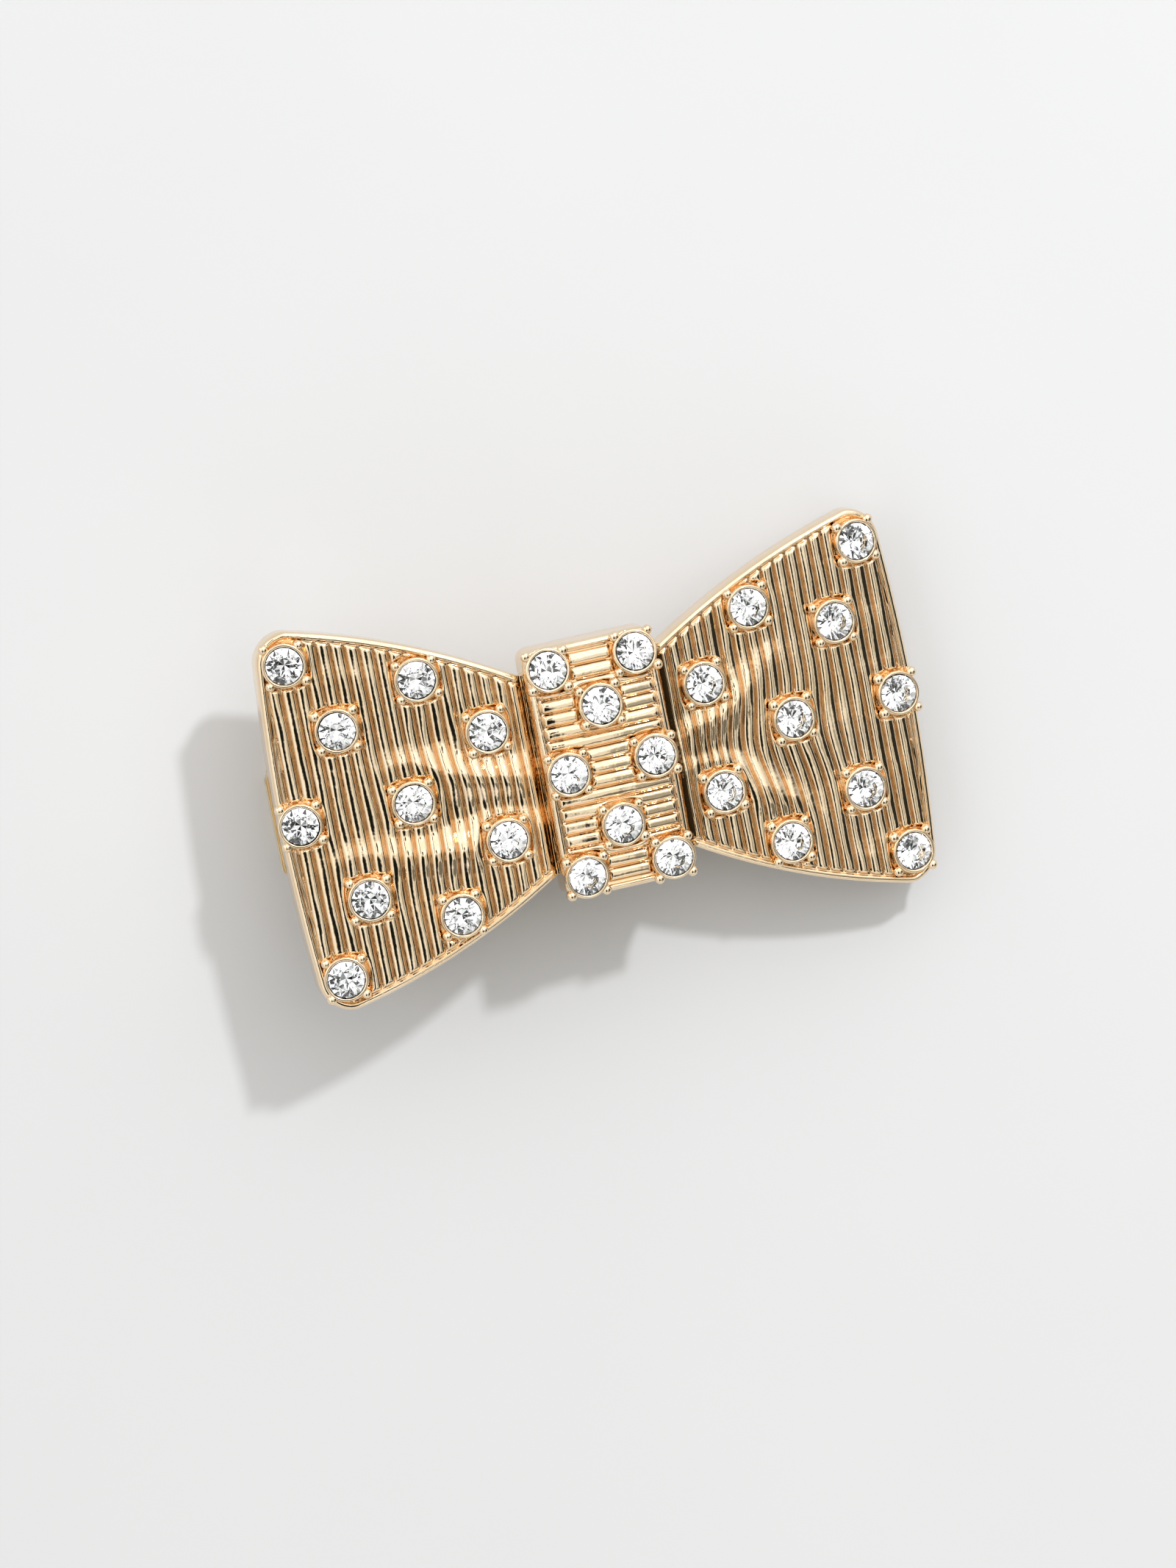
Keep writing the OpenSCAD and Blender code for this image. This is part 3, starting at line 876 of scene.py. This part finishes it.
def add_camera():
    """The camera, with the point it looks at and its right, up and back."""
    rx, ry, rz = (math.radians(a) for a in VIEW_TURN)
    seen = Matrix.Rotation(rz, 4, "Z") @ Matrix.Rotation(ry, 4, "Y") @ Matrix.Rotation(rx, 4, "X")
    axes = (LAY.to_3x3() @ seen.to_3x3().transposed()).to_4x4()
    right, up, back = (axes.to_3x3().col[i] for i in range(3))
    middle = LAY @ Vector((0, 0, 0)) - BOW_AT[0] * right - BOW_AT[1] * up
    data = bpy.data.cameras.new("camera")
    data.sensor_width = SENSOR
    data.lens = SENSOR * DISTANCE / FIELD_H
    data.clip_start, data.clip_end = 0.01, 10
    cam = bpy.data.objects.new("camera", data)
    bpy.context.scene.collection.objects.link(cam)
    cam.matrix_world = Matrix.Translation((middle + back * DISTANCE) * MM) @ axes
    bpy.context.scene.camera = cam
    return middle * MM, right, up, back


def add_lamp(name, towards, target, distance, size, power, colour):
    data = bpy.data.lights.new(name, "AREA")
    data.shape, data.size, data.energy, data.color = "DISK", size, power, colour
    o = bpy.data.objects.new(name, data)
    bpy.context.scene.collection.objects.link(o)
    facing = towards.to_track_quat("Z", "Y").to_matrix().to_4x4()
    o.matrix_world = Matrix.Translation(target + towards * distance) @ facing


def add_world(axes):
    """A studio seen by direction: soft boxes and dark flags are patches on a pale dome."""
    world = bpy.data.worlds.new("studio")
    bpy.context.scene.world = world
    world.use_nodes = True
    nodes, links = world.node_tree.nodes, world.node_tree.links
    place = nodes.new("ShaderNodeTexCoord")

    def along(axis):
        n = nodes.new("ShaderNodeVectorMath")
        n.operation = "DOT_PRODUCT"
        n.inputs[1].default_value = axis
        links.new(place.outputs["Generated"], n.inputs[0])
        return n.outputs["Value"]

    def calc(kind, *terms):
        n = nodes.new("ShaderNodeMath")
        n.operation = kind
        for i, v in enumerate(terms):
            if isinstance(v, (int, float)):
                n.inputs[i].default_value = v
            else:
                links.new(v, n.inputs[i])
        return n.outputs[0]

    side, rise, front = (along(a) for a in axes)
    ahead = calc("GREATER_THAN", front, 0)
    colour = ramp(nodes, links, calc("MULTIPLY_ADD", along(Vector((0, 0, 1))), 0.5, 0.5), DOME)
    for a0, b0, wide, tall, soft, tone in PATCHES:
        a = calc("POWER", calc("MULTIPLY", calc("SUBTRACT", side, a0), 1 / wide), 2)
        b = calc("POWER", calc("MULTIPLY", calc("SUBTRACT", rise, b0), 1 / tall), 2)
        edge = nodes.new("ShaderNodeMapRange")
        edge.interpolation_type = "SMOOTHSTEP"
        spans = {"From Min": 1 - soft, "From Max": 1 + 2 * soft, "To Min": 1, "To Max": 0}
        for name, value in spans.items():
            edge.inputs[name].default_value = value
        links.new(calc("ADD", a, b), edge.inputs["Value"])
        over = nodes.new("ShaderNodeMix")
        over.data_type = "RGBA"
        links.new(calc("MULTIPLY", edge.outputs["Result"], ahead), over.inputs["Factor"])
        links.new(colour, over.inputs["A"])
        over.inputs["B"].default_value = (*tone, 1)
        colour = over.outputs["Result"]
    links.new(colour, nodes["Background"].inputs["Color"])
    nodes["Background"].inputs["Strength"].default_value = WORLD_POWER


# The dome's colour from straight down to straight up. Each patch lies at a place across and along
# the bow as the camera sees it, with its half sizes, the softness of its edge and its colour.
DOME = [(0.0, (0.74, 0.72, 0.67)), (0.5, (0.66, 0.65, 0.62)), (0.75, (1.0, 0.99, 0.95)),
        (1.0, (1.5, 1.48, 1.43))]
PATCHES = [
    (-0.55, 0.4, 0.3, 0.3, 0.5, (1.7, 1.68, 1.64)),
    (0.4, 0.66, 0.5, 0.25, 0.5, (1.8, 1.78, 1.74)),
    (0.35, -0.4, 0.85, 0.3, 0.6, (1.0, 1.0, 0.94)),
    (-0.15, -0.47, 0.26, 0.35, 0.4, (0.01, 0.012, 0.01)),
    (0.5, -0.42, 0.1, 0.3, 0.6, (0.45, 0.45, 0.41)),
    (0.88, -0.36, 0.18, 0.36, 0.5, (0.03, 0.03, 0.025)),
    (0.45, -0.7, 0.26, 0.11, 0.5, (0.2, 0.19, 0.16)),
    (0.28, 0.08, 0.13, 0.13, 0.6, (1.8, 1.74, 1.68)),
    (0.02, 0.05, 0.09, 0.09, 0.3, (0.02, 0.02, 0.02)),
    (-0.3, 0.22, 0.07, 0.2, 0.3, (0.05, 0.05, 0.05)),
]
WORLD_POWER = 1.0
# The key light's way from the bow along the camera's right, up and back, then its watts and metres
KEY_WAY = (0.48, 0.64, 1.0)
KEY_POWER, KEY_SIZE, KEY_DISTANCE = 2.4, 0.05, 0.7

floor()
target, right, up, back = add_camera()
lean = Matrix.Rotation(math.radians(VIEW_TURN[2]), 3, back)
add_world((lean @ right, lean @ up, back))
key_way = (right * KEY_WAY[0] + up * KEY_WAY[1] + back * KEY_WAY[2]).normalized()
add_lamp("key", key_way, target, KEY_DISTANCE, KEY_SIZE, KEY_POWER, (0.95, 0.98, 1))

scene = bpy.context.scene
scene.view_settings.view_transform = "Standard"
scene.view_settings.look = "None"
scene.view_settings.exposure = 0
scene.view_settings.gamma = 1
